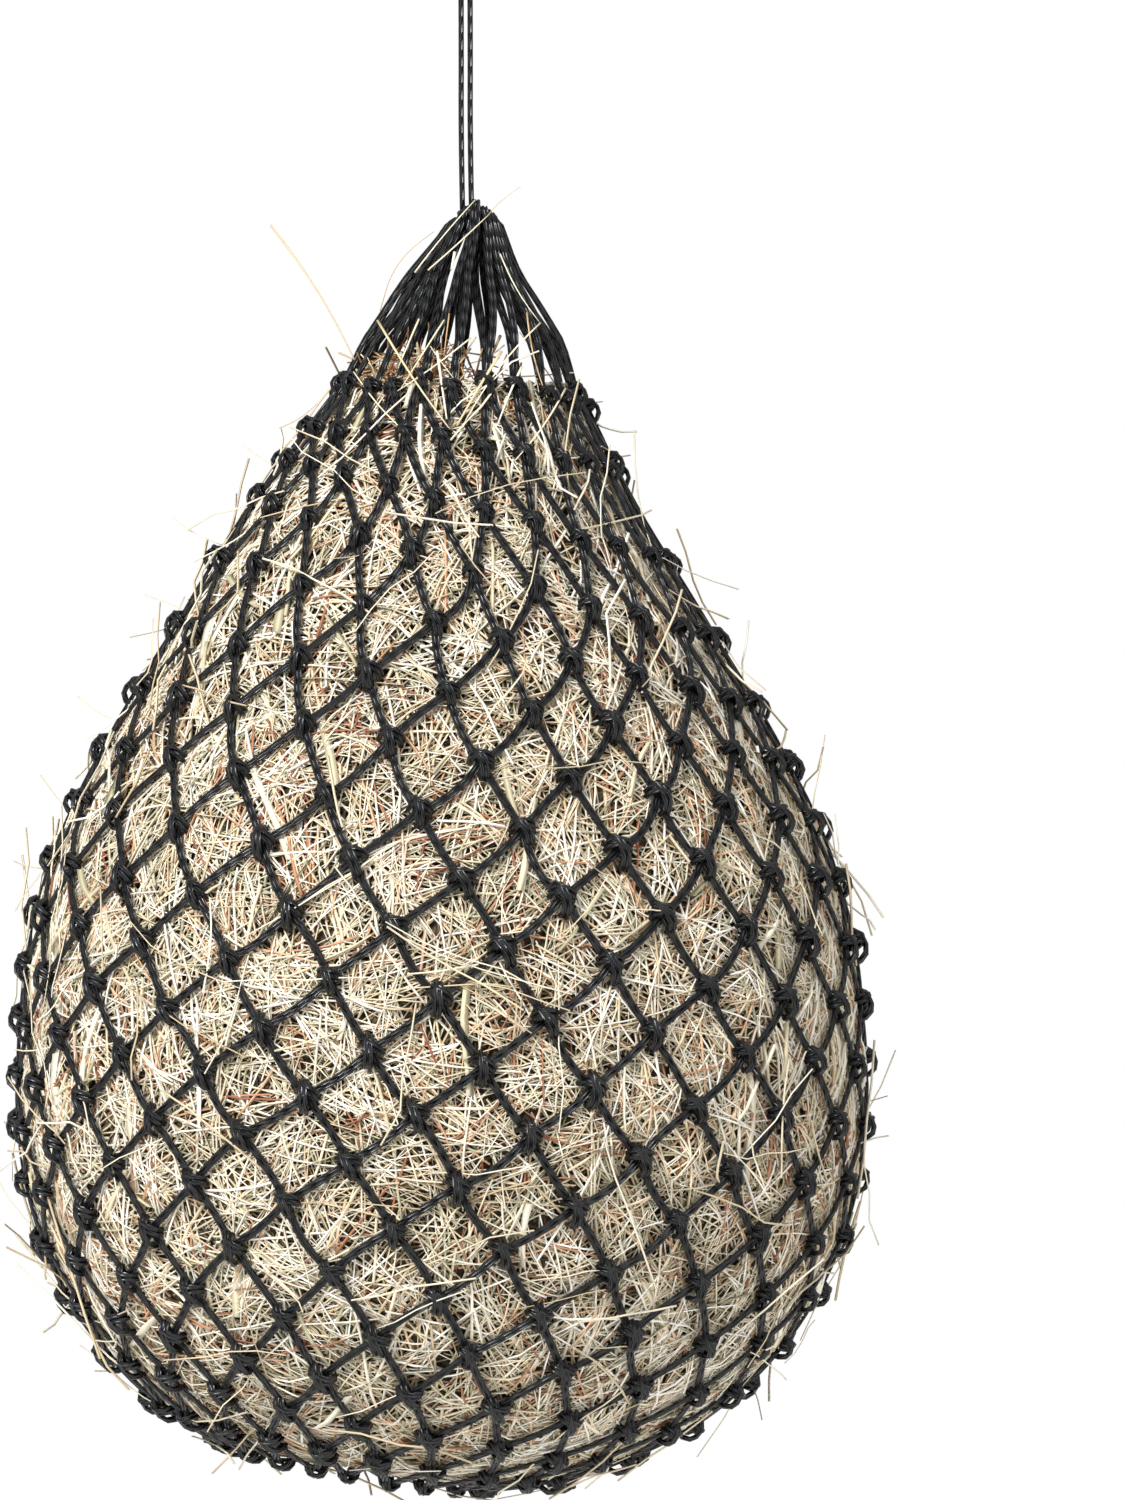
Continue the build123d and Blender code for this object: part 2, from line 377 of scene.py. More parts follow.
def painted_shade_hay():
    """The pressed mass under the loose stems: dark streaky brown, painted shade for the gaps between them.
    """
    material, tree, principled = shader("painted_shade_hay", 0.85)
    place = add(tree, "ShaderNodeTexCoord").outputs["Object"]
    streaks = add(tree, "ShaderNodeTexNoise", [("Vector", place), ("Scale", 260.0), ("Detail", 3.0),
                                               ("Distortion", 1.5)]).outputs["Fac"]
    ramp = add(tree, "ShaderNodeValToRGB", [("Fac", streaks)])
    # dark browns: painted shade, seen only in the gaps between the stems
    fill_ramp(ramp.color_ramp, [(0.35, "#1E170F"), (0.52, "#3E3222"), (0.68, "#75654A")])
    tree.links.new(ramp.outputs[0], principled.inputs["Base Color"])
    bump = add(tree, "ShaderNodeBump", [("Height", streaks), ("Strength", 0.8), ("Distance", 0.002)])
    tree.links.new(bump.outputs[0], principled.inputs["Normal"])
    return material


# ---- geometry trees ----
def keep(tree, geometry, name, value):
    """Stores a value at each point of a geometry under a name."""
    return out_of(tree, "GeometryNodeStoreNamedAttribute", [
        (0, geometry), ("Name", name), ("Value", value)], data_type="FLOAT", domain="POINT")


def kept(tree, name, kind="FLOAT"):
    """A value stored at each point under a name."""
    return out_of(tree, "GeometryNodeInputNamedAttribute", [("Name", name)], data_type=kind)


def finish_tree(tree, geometry, material, result):
    """Smooth shading and the material, as a tree's last steps."""
    soft = out_of(tree, "GeometryNodeSetShadeSmooth", [(0, geometry)])
    done = out_of(tree, "GeometryNodeSetMaterial", [(0, soft), ("Material", material)])
    tree.links.new(done, result)
    return tree


def netting_tree():
    """Strands of twine along edge lines, and a knot on each loose point."""
    tree, given, result = tree_with("netting", [("Strand", "NodeSocketFloat"), ("Knot", "NodeSocketObject"),
                                                ("Material", "NodeSocketMaterial")])
    is_knot = kept(tree, "is_knot", "BOOLEAN")
    parted = add(tree, "GeometryNodeSeparateGeometry", [(0, given[0]), ("Selection", is_knot)],
                 domain="POINT")
    lines = out_of(tree, "GeometryNodeMeshToCurve", [(0, parted.outputs["Inverted"])])
    lines = keep(tree, lines, "along", add(tree, "GeometryNodeSplineParameter").outputs["Length"])
    radius = math_of(tree, "MULTIPLY", given["Strand"], 0.5)
    profile = out_of(tree, "GeometryNodeCurvePrimitiveCircle", [("Resolution", 8), ("Radius", radius)])
    lap = add(tree, "GeometryNodeSplineParameter").outputs["Factor"]
    lap = math_of(tree, "ABSOLUTE", math_of(tree, "MULTIPLY_ADD", lap, 2.0, -1.0))
    profile = keep(tree, profile, "around", lap)
    strands = out_of(tree, "GeometryNodeCurveToMesh", [
        ("Curve", lines), ("Profile Curve", profile), ("Fill Caps", True)])
    knot = add(tree, "GeometryNodeObjectInfo", [("Object", given["Knot"])]).outputs["Geometry"]
    facing = kept(tree, "facing", "FLOAT_VECTOR")
    facing = out_of(tree, "FunctionNodeEulerToRotation", [(0, facing)])
    knots = out_of(tree, "GeometryNodeInstanceOnPoints", [
        ("Points", parted.outputs["Selection"]), ("Instance", knot), ("Rotation", facing),
        ("Scale", kept(tree, "size"))])
    both = tree.nodes.new("GeometryNodeJoinGeometry")
    tree.links.new(knots, both.inputs[0])
    tree.links.new(strands, both.inputs[0])
    real = out_of(tree, "GeometryNodeRealizeInstances", [(0, both.outputs[0])])
    return finish_tree(tree, real, given["Material"], result[0])


WISP_SCALE = 22.0         # how fine the wisps are in which stems lie alike
WISP_TURN = 17.0          # how far the heading turns from wisp to wisp, radians
WISP_SPREAD = 0.75        # how far a stem's heading strays from its wisp's, radians
STEM_BOW = 0.16           # how far a stem's middle is drawn to its side, before its own bow scales it


def stems_tree():
    """Stems scattered on the hay, laid along it in wisps, bent with it, and lifted or tilted off it."""
    floats = ("Density", "Shortest", "Longest", "Width", "Flatness", "Lowest", "Highest", "Tilt", "Stray")
    inputs = [(name, "NodeSocketFloat") for name in floats]
    inputs += [("Seed", "NodeSocketInt"), ("Steps", "NodeSocketInt"), ("Material", "NodeSocketMaterial")]
    tree, given, result = tree_with("stems", inputs)

    def chance(low, high, salt):
        seed = math_of(tree, "ADD", given["Seed"], salt)
        return add(tree, "FunctionNodeRandomValue", [(2, low), (3, high), ("Seed", seed)],
                   data_type="FLOAT").outputs[1]

    spots = add(tree, "GeometryNodeDistributePointsOnFaces", [
        ("Mesh", given[0]), ("Density", given["Density"]), ("Seed", given["Seed"])])
    own = (("tint", 0.0, 1.0), ("lift", given["Lowest"], given["Highest"]),
           ("tilt", math_of(tree, "MULTIPLY", given["Tilt"], -1.0), given["Tilt"]),
           ("stray", 0.0, given["Stray"]), ("broad", 0.6, 1.4))
    points = spots.outputs["Points"]
    for salt, (name, low, high) in enumerate(own, 11):
        points = keep(tree, points, name, chance(low, high, salt))
    where = out_of(tree, "GeometryNodeInputPosition")
    wisps = add(tree, "ShaderNodeTexNoise", [("Vector", where), ("Scale", WISP_SCALE), ("Detail", 1.0)])
    heading = math_of(tree, "MULTIPLY", wisps.outputs["Fac"], WISP_TURN)
    heading = math_of(tree, "ADD", heading, chance(-WISP_SPREAD, WISP_SPREAD, 16))
    spin = out_of(tree, "ShaderNodeCombineXYZ", [("Z", heading)])
    spin = out_of(tree, "FunctionNodeEulerToRotation", [(0, spin)])
    facing = out_of(tree, "FunctionNodeRotateRotation", [
        (0, spots.outputs["Rotation"]), (1, spin)], rotation_space="LOCAL")
    stretch = chance(given["Shortest"], given["Longest"], 17)
    bow = math_of(tree, "MULTIPLY", stretch, chance(-0.6, 0.6, 18))
    scale = out_of(tree, "ShaderNodeCombineXYZ", [("X", stretch), ("Y", bow), ("Z", 1.0)])
    stem = out_of(tree, "GeometryNodeCurveQuadraticBezier", [
        ("Resolution", given["Steps"]), ("Start", (-0.5, 0.0, 0.0)), ("Middle", (0.0, STEM_BOW, 0.0)),
        ("End", (0.5, 0.0, 0.0))])
    laid = out_of(tree, "GeometryNodeInstanceOnPoints", [
        ("Points", points), ("Instance", stem), ("Rotation", facing), ("Scale", scale)])
    lines = out_of(tree, "GeometryNodeRealizeInstances", [(0, laid)])
    lines = keep(tree, lines, "along", add(tree, "GeometryNodeSplineParameter").outputs["Factor"])
    lines = on_the_hay(tree, given[0], lines)
    profile = out_of(tree, "GeometryNodeCurvePrimitiveCircle", [("Resolution", 3), ("Radius", 0.5)])
    squash = out_of(tree, "ShaderNodeCombineXYZ", [("X", 1.0), ("Y", given["Flatness"]), ("Z", 1.0)])
    profile = out_of(tree, "GeometryNodeTransform", [(0, profile), ("Scale", squash)])
    profile = keep(tree, profile, "side", add(tree, "GeometryNodeSplineParameter").outputs["Factor"])
    width = math_of(tree, "MULTIPLY", kept(tree, "broad"), given["Width"])
    body = out_of(tree, "GeometryNodeCurveToMesh", [
        ("Curve", lines), ("Profile Curve", profile), ("Scale", width), ("Fill Caps", True)])
    return finish_tree(tree, body, given["Material"], result[0])


def on_the_hay(tree, hay, lines):
    """Lays the stems' points on the hay's face, each at the height its lift, tilt and stray give."""
    spot = out_of(tree, "GeometryNodeInputPosition")
    under = add(tree, "GeometryNodeProximity", [(0, hay), ("Sample Position", spot)], target_element="FACES")
    normal = out_of(tree, "GeometryNodeInputNormal")
    out = out_of(tree, "GeometryNodeSampleNearestSurface", [
        ("Mesh", hay), ("Value", normal), ("Sample Position", spot)], data_type="FLOAT_VECTOR")
    half = math_of(tree, "SUBTRACT", kept(tree, "along"), 0.5)
    height = math_of(tree, "ADD", math_of(tree, "MULTIPLY", half, kept(tree, "tilt")), kept(tree, "lift"))
    far = math_of(tree, "MULTIPLY", kept(tree, "along"), kept(tree, "along"))
    height = math_of(tree, "ADD", height, math_of(tree, "MULTIPLY", far, kept(tree, "stray")))
    raised = out_of(tree, "ShaderNodeVectorMath", [(0, out), ("Scale", height)], operation="SCALE")
    place = out_of(tree, "ShaderNodeVectorMath", [(0, under.outputs["Position"]), (1, raised)],
                   operation="ADD")
    return out_of(tree, "GeometryNodeSetPosition", [(0, lines), ("Position", place)])


# ---- tubes worked out one by one ----
def tube_rings(path, widths, sides, flat=1.0):
    """Rings of points round a path, carried along it without twisting."""
    path = np.asarray(path, float)
    ahead = unit(np.gradient(path, axis=0))
    side = np.cross(ahead[0], (0.3, 0.2, 0.93))
    rings = []
    turns = 2 * math.pi * np.arange(sides) / sides
    for place, forward, width in zip(path, ahead, widths):
        side = unit(side - forward * np.dot(side, forward))
        other = np.cross(forward, side)
        ring = np.outer(np.cos(turns), side) + flat * np.outer(np.sin(turns), other)
        rings.append(place + width / 2 * ring)
    return np.concatenate(rings)


def tube_faces(count, sides, first):
    """Quads between the rings of one tube and a cap at each end."""
    faces = []
    for ring in range(count - 1):
        for k in range(sides):
            a, b = first + ring * sides + k, first + ring * sides + (k + 1) % sides
            faces.append((a, b, b + sides, a + sides))
    last = first + (count - 1) * sides
    faces.append(tuple(first + k for k in reversed(range(sides))))
    faces.append(tuple(last + k for k in range(sides)))
    return faces


def tubes(name, paths, width, sides, material):
    """One mesh of round tubes, with how far along and how far round each point is."""
    points, faces, along, around = [], [], [], []
    first = 0
    for path in paths:
        path = np.asarray(path, float)
        run = np.concatenate([[0.0], np.cumsum(np.linalg.norm(np.diff(path, axis=0), axis=1))])
        points.append(tube_rings(path, np.full(len(path), width), sides))
        faces += tube_faces(len(path), sides, first)
        along.append(np.repeat(run, sides))
        around.append(np.tile(np.abs(2 * np.arange(sides) / sides - 1), len(path)))
        first += len(path) * sides
    mesh = new_mesh(name, np.concatenate(points), faces=faces)
    give(mesh, "along", np.concatenate(along))
    give(mesh, "around", np.concatenate(around))
    mesh.materials.append(material)
    mesh.shade_smooth()
    return link_object(name, mesh)


def finished(piece, body, slot, *nodes):
    """Puts a piece on its body and hides the CAD nodes it stands for. Its finish, slot, is not used."""
    piece.data.update()
    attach(piece, body)
    if nodes:
        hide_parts(*nodes)


# ---- netting ----
FIRST_SLOPE = 0.0055      # the first row hangs this much lower on the right than in the middle
UPPER_WANDER = (2.6, 1.6)   # the first two rows wander this many times as far down the net
FIRST_WANDER = 1.4        # and the first row this many times as far round it
BOW = 0.05                # most a bar bows to its side, in meshes
SAG = (-0.0005, 0.0045)   # least and most a bar hangs down in its middle
KNOT_SIZES = (1.02, 1.20)   # least and most of a knot's size
SMALLEST = 0.82           # share of that size that a knot has in the first row
FULL_ROW = 7              # row from which knots have all of it
KNOT_TWIST = 0.3          # most that a knot lies turned, radians


def knot_grid(slack):
    """Length down and turn round the net of every knot, each wandering a little from an even net."""
    chance = np.random.default_rng(41)
    runs = np.repeat(np.array(ROWS)[:, None], MESHES, axis=1)
    turns = np.arange(MESHES)[None, :] + 0.5 * (np.arange(len(ROWS)) % 2)[:, None]
    pitch = 2 * math.pi * np.interp(runs, OUT_RUN, OUT_R) / MESHES
    wander = slack * chance.uniform(-1, 1, (2,) + runs.shape)
    for row, more in enumerate(UPPER_WANDER):
        wander[0, row] *= more
    wander[1, 0] *= FIRST_WANDER
    runs[0] += FIRST_SLOPE * (1 + np.cos(2 * math.pi * turns[0] / MESHES))
    return runs + wander[0], turns + wander[1] / pitch


def bar_lines(row, runs, turns, steps):
    """The middle lines of a course's bars as points, with their sideways and outward directions."""
    upper = np.tile(np.arange(MESHES), 2)
    lower = upper + row % 2 - np.repeat([0, 1], MESHES)
    t = np.linspace(0, 1, steps)[None, :]
    chance = np.random.default_rng(100 + row)
    bow = chance.uniform(-BOW, BOW, len(upper))[:, None] * np.sin(math.pi * t)
    sag = chance.uniform(*SAG, len(upper))[:, None] * np.sin(math.pi * t)
    run = runs[row, upper][:, None] * (1 - t) + runs[row + 1, lower % MESHES][:, None] * t + sag
    lower_turn = turns[row + 1, lower % MESHES] + MESHES * (lower // MESHES)
    turn = turns[row, upper][:, None] * (1 - t) + lower_turn[:, None] * t + bow
    places, _, _, out = net_frames(run, turn)
    forward = unit(np.gradient(places, axis=1))
    return places, unit(np.cross(out, forward)), out


def strand_guides(lines, sides, gap):
    """Points and edges of two strands beside each middle line."""
    points, edges = [], []
    count = lines.shape[1]
    for line, side in zip(lines, sides):
        for half in (-0.5, 0.5):
            first = len(points) * count
            points.append(line + side * gap * half)
            edges += [(first + k, first + k + 1) for k in range(count - 1)]
    return np.concatenate(points), edges


def guide_mesh(name, points, edges, knots=(), facing=(), sizes=()):
    """A mesh of strand guides, and loose points that each carry a knot's facing and size."""
    both = np.concatenate([points, knots]) if len(knots) else points
    mesh = new_mesh(name, both, edges)
    plain = len(points)
    is_knot = mesh.attributes.new("is_knot", "BOOLEAN", "POINT")
    is_knot.data.foreach_set("value", np.arange(len(both)) >= plain)
    turned = np.zeros((len(both), 3))
    scale = np.ones(len(both))
    if len(knots):
        turned[plain:] = facing
        scale[plain:] = sizes
    give(mesh, "facing", turned, "FLOAT_VECTOR")
    give(mesh, "size", scale)
    return mesh


def euler_of(x_way, y_way, z_way):
    """Euler turns that carry the axes onto three directions."""
    found = []
    for x, y, z in zip(x_way, y_way, z_way):
        found.append(tuple(Matrix((x, y, z)).transposed().to_euler()))
    return found


def sheet_bend(width, material):
    """A netting knot from outside: two strands wrapped over the bight, and the strap across them."""
    paths = []
    for lane in (-1, 1):
        wrap_y = 0.0024 + lane * width / 2
        paths.append([(-0.0064, wrap_y - 0.0016, -0.0020), (-0.0052, wrap_y, 0.0022),
                      (-0.0018, wrap_y + 0.0006, 0.0048), (0.0022, wrap_y + 0.0004, 0.0048),
                      (0.0056, wrap_y - 0.0006, 0.0020), (0.0062, wrap_y - 0.0018, -0.0022)])
        x = lane * width * 0.45
        paths.append([(-0.0036 + x, 0.0072, 0.0000), (-0.0020 + x, 0.0046, 0.0042),
                      (0.0006 + x, -0.0006, 0.0058), (0.0022 + x, -0.0044, 0.0052),
                      (0.0030 + x, -0.0074, 0.0020), (0.0026 + x, -0.0088, -0.0020)])
    return tubes("sheet_bend", paths, width, 6, material)


def netting_piece(name, tree, mesh, strand, material, knot=None):
    """Twine along the guides of a mesh, with a copy of the knot on each of its loose points."""
    guide = link_object(name + "_guide", mesh)
    values = {"Strand": strand, "Material": material}
    if knot:
        values["Knot"] = knot
    piece = grown(guide, tree, values, name, material)
    bpy.data.objects.remove(guide)
    return piece


class HAYNET_OT_courses(bpy.types.Operator):
    """Nets the courses of diamond mesh round the hay"""
    bl_idname = "haynet.courses"
    bl_label = "Courses of mesh"

    def execute(self, context):
        sizes = context.scene.netting_sizes
        material = braided_twine("braided_polypropylene_twine", sizes)
        knot = sheet_bend(sizes.strand * 1.16, material)
        tree = netting_tree()
        runs, turns = knot_grid(sizes.slack)
        for row, node in enumerate(COURSES):
            lines, sides, outward = bar_lines(row, runs, turns, 7)
            points, edges = strand_guides(lines + outward * sizes.proud, sides, sizes.strand_gap)
            places, around, down, out = net_frames(runs[row], turns[row])
            places = places + out * sizes.proud
            chance = np.random.default_rng(200 + row)
            twist = chance.uniform(-KNOT_TWIST, KNOT_TWIST, MESHES)[:, None]
            x_way = unit(around * np.cos(twist) + down * np.sin(twist))
            y_way = np.cross(out, x_way)
            share = SMALLEST + (1 - SMALLEST) * smooth(row / FULL_ROW)
            scales = chance.uniform(*KNOT_SIZES, MESHES) * share
            mesh = guide_mesh(node + "_lines", points, edges, places, euler_of(x_way, y_way, out), scales)
            piece = netting_piece("twine_" + node[-9:], tree, mesh, sizes.strand, material, knot)
            finished(piece, "bag", "net_twine", node)
        bpy.data.objects.remove(knot)
        return {"FINISHED"}


# ---- neck and mouth ----
# height and radius of the drawn neck
NECK = ((-0.2290, 0.0120), (-0.2440, 0.0190), (-0.2600, 0.0290), (-0.2840, 0.0450), (-0.3100, 0.0610),
        (FIRST_Z, FIRST_RADIUS + 0.001))


HEAP_ASIDE = 0.006        # how far the top of the heaped loops lies to the right
LOOP_SPREAD = 0.12        # between the middle of a loop's top and each leg, in meshes
LOOP_RISE = 0.0050        # highest loop above the middle of the mouth cord
LOOP_FALL = 0.0130        # loops at the sides of the heap lie this much lower
OUTER_LEG = (0.0, 0.12)   # least and most that the first leg of a loop lies in from the neck's outline
INNER_LEG = (0.22, 0.42)  # the same of its second leg


def neck_radius(z):
    """Radius of the drawn neck at a height."""
    heights, radii = zip(*reversed(NECK))
    return np.interp(z, heights, radii)


def heap_shift(z):
    """The drawn loops heap to the right of the falls at the very top."""
    return HEAP_ASIDE * smooth((z + 0.275) / 0.04)


def loop_leg(run_low, turn_low, turn_high, top, inward, steps=14):
    """One leg of a mouth loop, from its knot in the first row up to the mouth."""
    t = np.linspace(0, 1, steps)
    low = np.interp(run_low, OUT_RUN, OUT_Z)
    z = low + (top - low) * t
    turn = turn_low + (turn_high - turn_low) * smooth(t * 1.15)
    angle = 2 * math.pi * turn / MESHES
    r = np.where(z > FIRST_Z, neck_radius(z), bag_radius(z)) * (1 - inward * smooth(t * 1.1))
    x = r * np.cos(angle) + lean(z) + heap_shift(z)
    return np.stack([x, r * np.sin(angle), z], -1)


def mouth_loop(number, runs, turns, chance):
    """A long loop: up from one knot, over the mouth cord, and down to the next."""
    middle = number + 0.5 + chance.uniform(-0.5, 0.5)
    side = math.cos(2 * math.pi * middle / MESHES)
    top = MOUTH.z + LOOP_RISE - LOOP_FALL * abs(side) ** 1.6 + chance.uniform(-0.003, 0.001)
    following = (number + 1) % MESHES
    last_turn = turns[following] + MESHES * ((number + 1) // MESHES)
    up = loop_leg(runs[number], turns[number], middle - LOOP_SPREAD, top, chance.uniform(*OUTER_LEG))
    back = loop_leg(runs[following], last_turn, middle + LOOP_SPREAD, top, chance.uniform(*INNER_LEG))
    crest = (up[-1] + back[-1]) / 2 + np.array((0, 0, 0.0022))
    return np.concatenate([up, crest[None, :], back[::-1]])


class HAYNET_OT_mouth(bpy.types.Operator):
    """Draws the long first loops together on the mouth cord"""
    bl_idname = "haynet.mouth"
    bl_label = "Mouth loops and cord"

    def execute(self, context):
        sizes = context.scene.netting_sizes
        cords = context.scene.cord_sizes
        material = braided_twine("braided_twine_of_the_mouth", sizes)
        runs, turns = knot_grid(sizes.slack)
        chance = np.random.default_rng(5)
        lines = np.stack([mouth_loop(number, runs[0], turns[0], chance) for number in range(MESHES)])
        outward = lines - np.array((MOUTH.x, MOUTH.y, -0.40))
        forward = unit(np.gradient(lines, axis=1))
        sides = unit(np.cross(outward, forward))
        points, edges = strand_guides(lines, sides, sizes.strand_gap)
        mesh = guide_mesh("mouth_lines", points, edges)
        piece = netting_piece("drawn_mouth_loops", netting_tree(), mesh, sizes.strand, material)
        finished(piece, "bag", "net_twine", "mouth_loops")
        cord = tubes("drawn_mouth_cord", mouth_ring(), cords.across, CORD_SIDES, braided_cord(sizes))
        finished(cord, "bag", "drawcord", "mouth_cord")
        return {"FINISHED"}


def mouth_ring():
    """The ring of drawcord inside the heaped loops, and its crossing under the falls."""
    wide, deep, shift = 0.0085, 0.0125, 0.0050
    turn = np.linspace(0, 2 * math.pi, 41)
    ring = np.stack([MOUTH.x + shift + wide * np.cos(turn), deep * np.sin(turn), np.full(41, MOUTH.z)], -1)
    across = np.stack([np.linspace(shift - wide, shift + wide, 9), np.zeros(9), np.full(9, MOUTH.z)], -1)
    return [ring, across]


# ---- base ----
OVER_CORD = 0.0022        # how far the base loops arch over the gathering cord
BASE_KNOTS = 0.95         # size of the last row of knots


def base_frame(runs, turns):
    """Middle of the last row of knots, its outward direction, and the knots."""
    knots = net_points(runs[-1], turns[-1])
    even = net_points(np.full(MESHES, ROWS[-1]), np.arange(MESHES) + 0.5 * ((len(ROWS) - 1) % 2))
    middle = even.mean(axis=0)
    out = unit(np.cross(even[0] - middle, even[MESHES // 4] - middle))
    return middle, (-out if out[2] > 0 else out), knots


class HAYNET_OT_base(bpy.types.Operator):
    """Gathers the last meshes on a cord under the bag"""
    bl_idname = "haynet.base"
    bl_label = "Gathered base"

    def execute(self, context):
        sizes = context.scene.netting_sizes
        cords = context.scene.cord_sizes
        material = braided_twine("braided_twine_of_the_base", sizes)
        runs, turns = knot_grid(sizes.slack)
        middle, out, knots = base_frame(runs, turns)
        low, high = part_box("base_cord")
        radius = (high.y - low.y) / 2 - cords.across / 2
        spokes = (knots - middle)[:, None, :]
        t = np.linspace(0, 1, 9)[:, None]
        lines = middle + unit(spokes) * (radius - 0.002) * (1 - t) + spokes * t
        lines = lines + out * OVER_CORD * np.sin(math.pi * np.clip(t * 6, 0, 1))
        sides = unit(np.cross(np.broadcast_to(out, lines.shape), np.gradient(lines, axis=1)))
        points, edges = strand_guides(lines, sides, sizes.strand_gap * 0.8)
        knot = sheet_bend(sizes.strand * 1.1, material)
        y_way = unit(knots - middle)
        x_way = unit(np.cross(y_way, out))
        turned = euler_of(x_way, y_way, np.cross(x_way, y_way))
        mesh = guide_mesh("base_lines", points, edges, knots, turned, np.full(MESHES, BASE_KNOTS))
        piece = netting_piece("gathered_base_loops", netting_tree(), mesh, sizes.strand * 0.85, material,
                              knot)
        bpy.data.objects.remove(knot)
        finished(piece, "bag", "net_twine", "base_loops")
        across = unit(np.cross(out, (0.0, 1.0, 0.0)))
        other = np.cross(out, across)
        turn = np.linspace(0, 2 * math.pi, 49)[:, None]
        ring = middle + radius * (np.cos(turn) * across + np.sin(turn) * other)
        cord = tubes("gathering_cord", [ring], cords.across, CORD_SIDES, braided_cord(sizes))
        finished(cord, "bag", "drawcord", "base_cord")
        centre = np.array(sum(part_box("base_knot"), Vector()) / 2)
        path = overhand(centre, 0.0036, across, other, out)
        knot = tubes("gathering_knot", [path], cords.across * 0.9, 8, braided_cord(sizes))
        finished(knot, "bag", "drawcord", "base_knot")
        return {"FINISHED"}


# ---- drawcord ----
CORD_SIDES = 10           # flats round a drawn cord


def braided_cord(netting):
    """Drawcord: the same black braid as the twine."""
    return braided_twine("braided_polypropylene_drawcord", netting)


def overhand(centre, size, x_way, y_way, z_way):
    """The trefoil of an overhand knot, pulled tight."""
    t = np.linspace(0, 2 * math.pi, 61)[:, None]
    x = np.sin(t) + 2 * np.sin(2 * t)
    y = np.cos(t) - 2 * np.cos(2 * t)
    z = -np.sin(3 * t) * 1.3
    return centre + size / 2 * (x * np.array(x_way) + y * np.array(y_way) + z * np.array(z_way))


def cord_line(name, points, steps=10):
    """Points of a smooth NURBS line through a cord's route."""
    curve = bpy.data.curves.new(name, "CURVE")
    curve.dimensions = "3D"
    spline = curve.splines.new("NURBS")
    spline.points.add(len(points) - 1)
    for point, place in zip(spline.points, points):
        point.co = (*place, 1.0)
    spline.order_u = 3
    spline.use_endpoint_u = True
    spline.resolution_u = steps
    holder = link_object(name, curve)
    mesh = bpy.data.meshes.new_from_object(holder)
    line = [tuple(v.co) for v in mesh.vertices]
    bpy.data.objects.remove(holder)
    bpy.data.meshes.remove(mesh)
    return line


INTO_HEAP = 0.005         # how far the falls run down among the heaped loops


def hung_cord(node, body, route, cords, material):
    """One cord along its route, in place of its CAD node."""
    line = cord_line(node + "_line", route)
    cord = tubes(node + "_cord", [line], cords.across, CORD_SIDES, material)
    finished(cord, body, "drawcord", node)


class HAYNET_OT_drawcord(bpy.types.Operator):
    """Hangs the bag: the loop for the hook, its end knot and the two falls"""
    bl_idname = "haynet.drawcord"
    bl_label = "Drawcord"

    def execute(self, context):
        cords = context.scene.cord_sizes
        material = braided_cord(context.scene.netting_sizes)
        low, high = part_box("hanging_loop")
        legs, side, top = cords.gap / 2, high.x - cords.across / 2, high.z - cords.across / 2
        route = [(-legs, 0, low.z), (-legs - 0.0003, 0, -0.070), (-legs - 0.0030, 0, -0.059),
                 (-side, 0, -0.034), (-side, 0, -0.014), (-side, 0, top - 0.001),
                 (-0.004, 0, top + 0.0006)]
        route += [(-x, y, z) for x, y, z in reversed(route)]
        hung_cord("hanging_loop", "cord_top", route, cords, material)
        for node, way in (("fall_left", -1), ("fall_right", 1)):
            low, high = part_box(node)
            x = way * legs
            foot = low.z - INTO_HEAP
            route = [(x, 0, high.z), (x + 0.0002, 0, high.z * 0.7 + foot * 0.3),
                     (x, 0, high.z * 0.35 + foot * 0.65), (x + 0.001, 0, foot)]
            hung_cord(node, "falls", route, cords, material)
        centre = np.array(END_KNOT)
        paths = []
        for shift in (-0.0015, 0.0015):
            place = centre + np.array((0, shift, 0))
            paths.append(overhand(place, 0.0052, (1, 0, 0), (0, 0, 1), (0, 1, 0)))
        knot = tubes("end_overhand_knot", paths, cords.across, CORD_SIDES, material)
        finished(knot, "knot", "drawcord", "end_knot")
        return {"FINISHED"}


# ---- hay ----
BED_ROWS, BED_ROUND = 130, 252
FLAT_FROM = 0.019         # distance from the twine at which hay has its full bulge
LUMP, LUMP_FROM = 0.0022, 0.008   # height of the hay's lumps, and how far from the twine they are full
BASE_PRESS = 0.0050       # how far above the gathered loops the hay stops
HOLLOW = 0.012            # depth of the dip in the top of the hay


def bar_tree(netting):
    """Search tree of points along every bar and base loop."""
    runs, turns = knot_grid(netting.slack)
    found = [bar_lines(row, runs, turns, 13)[0].reshape(-1, 3) for row in range(len(COURSES))]
    middle, _, knots = base_frame(runs, turns)
    t = np.linspace(0.15, 1, 12)[None, :, None]
    found.append((middle + (knots - middle)[:, None, :] * t).reshape(-1, 3))
    found = np.concatenate(found)
    tree = kdtree.KDTree(len(found))
    for number, place in enumerate(found):
        tree.insert(place, number)
    tree.balance()
    return tree


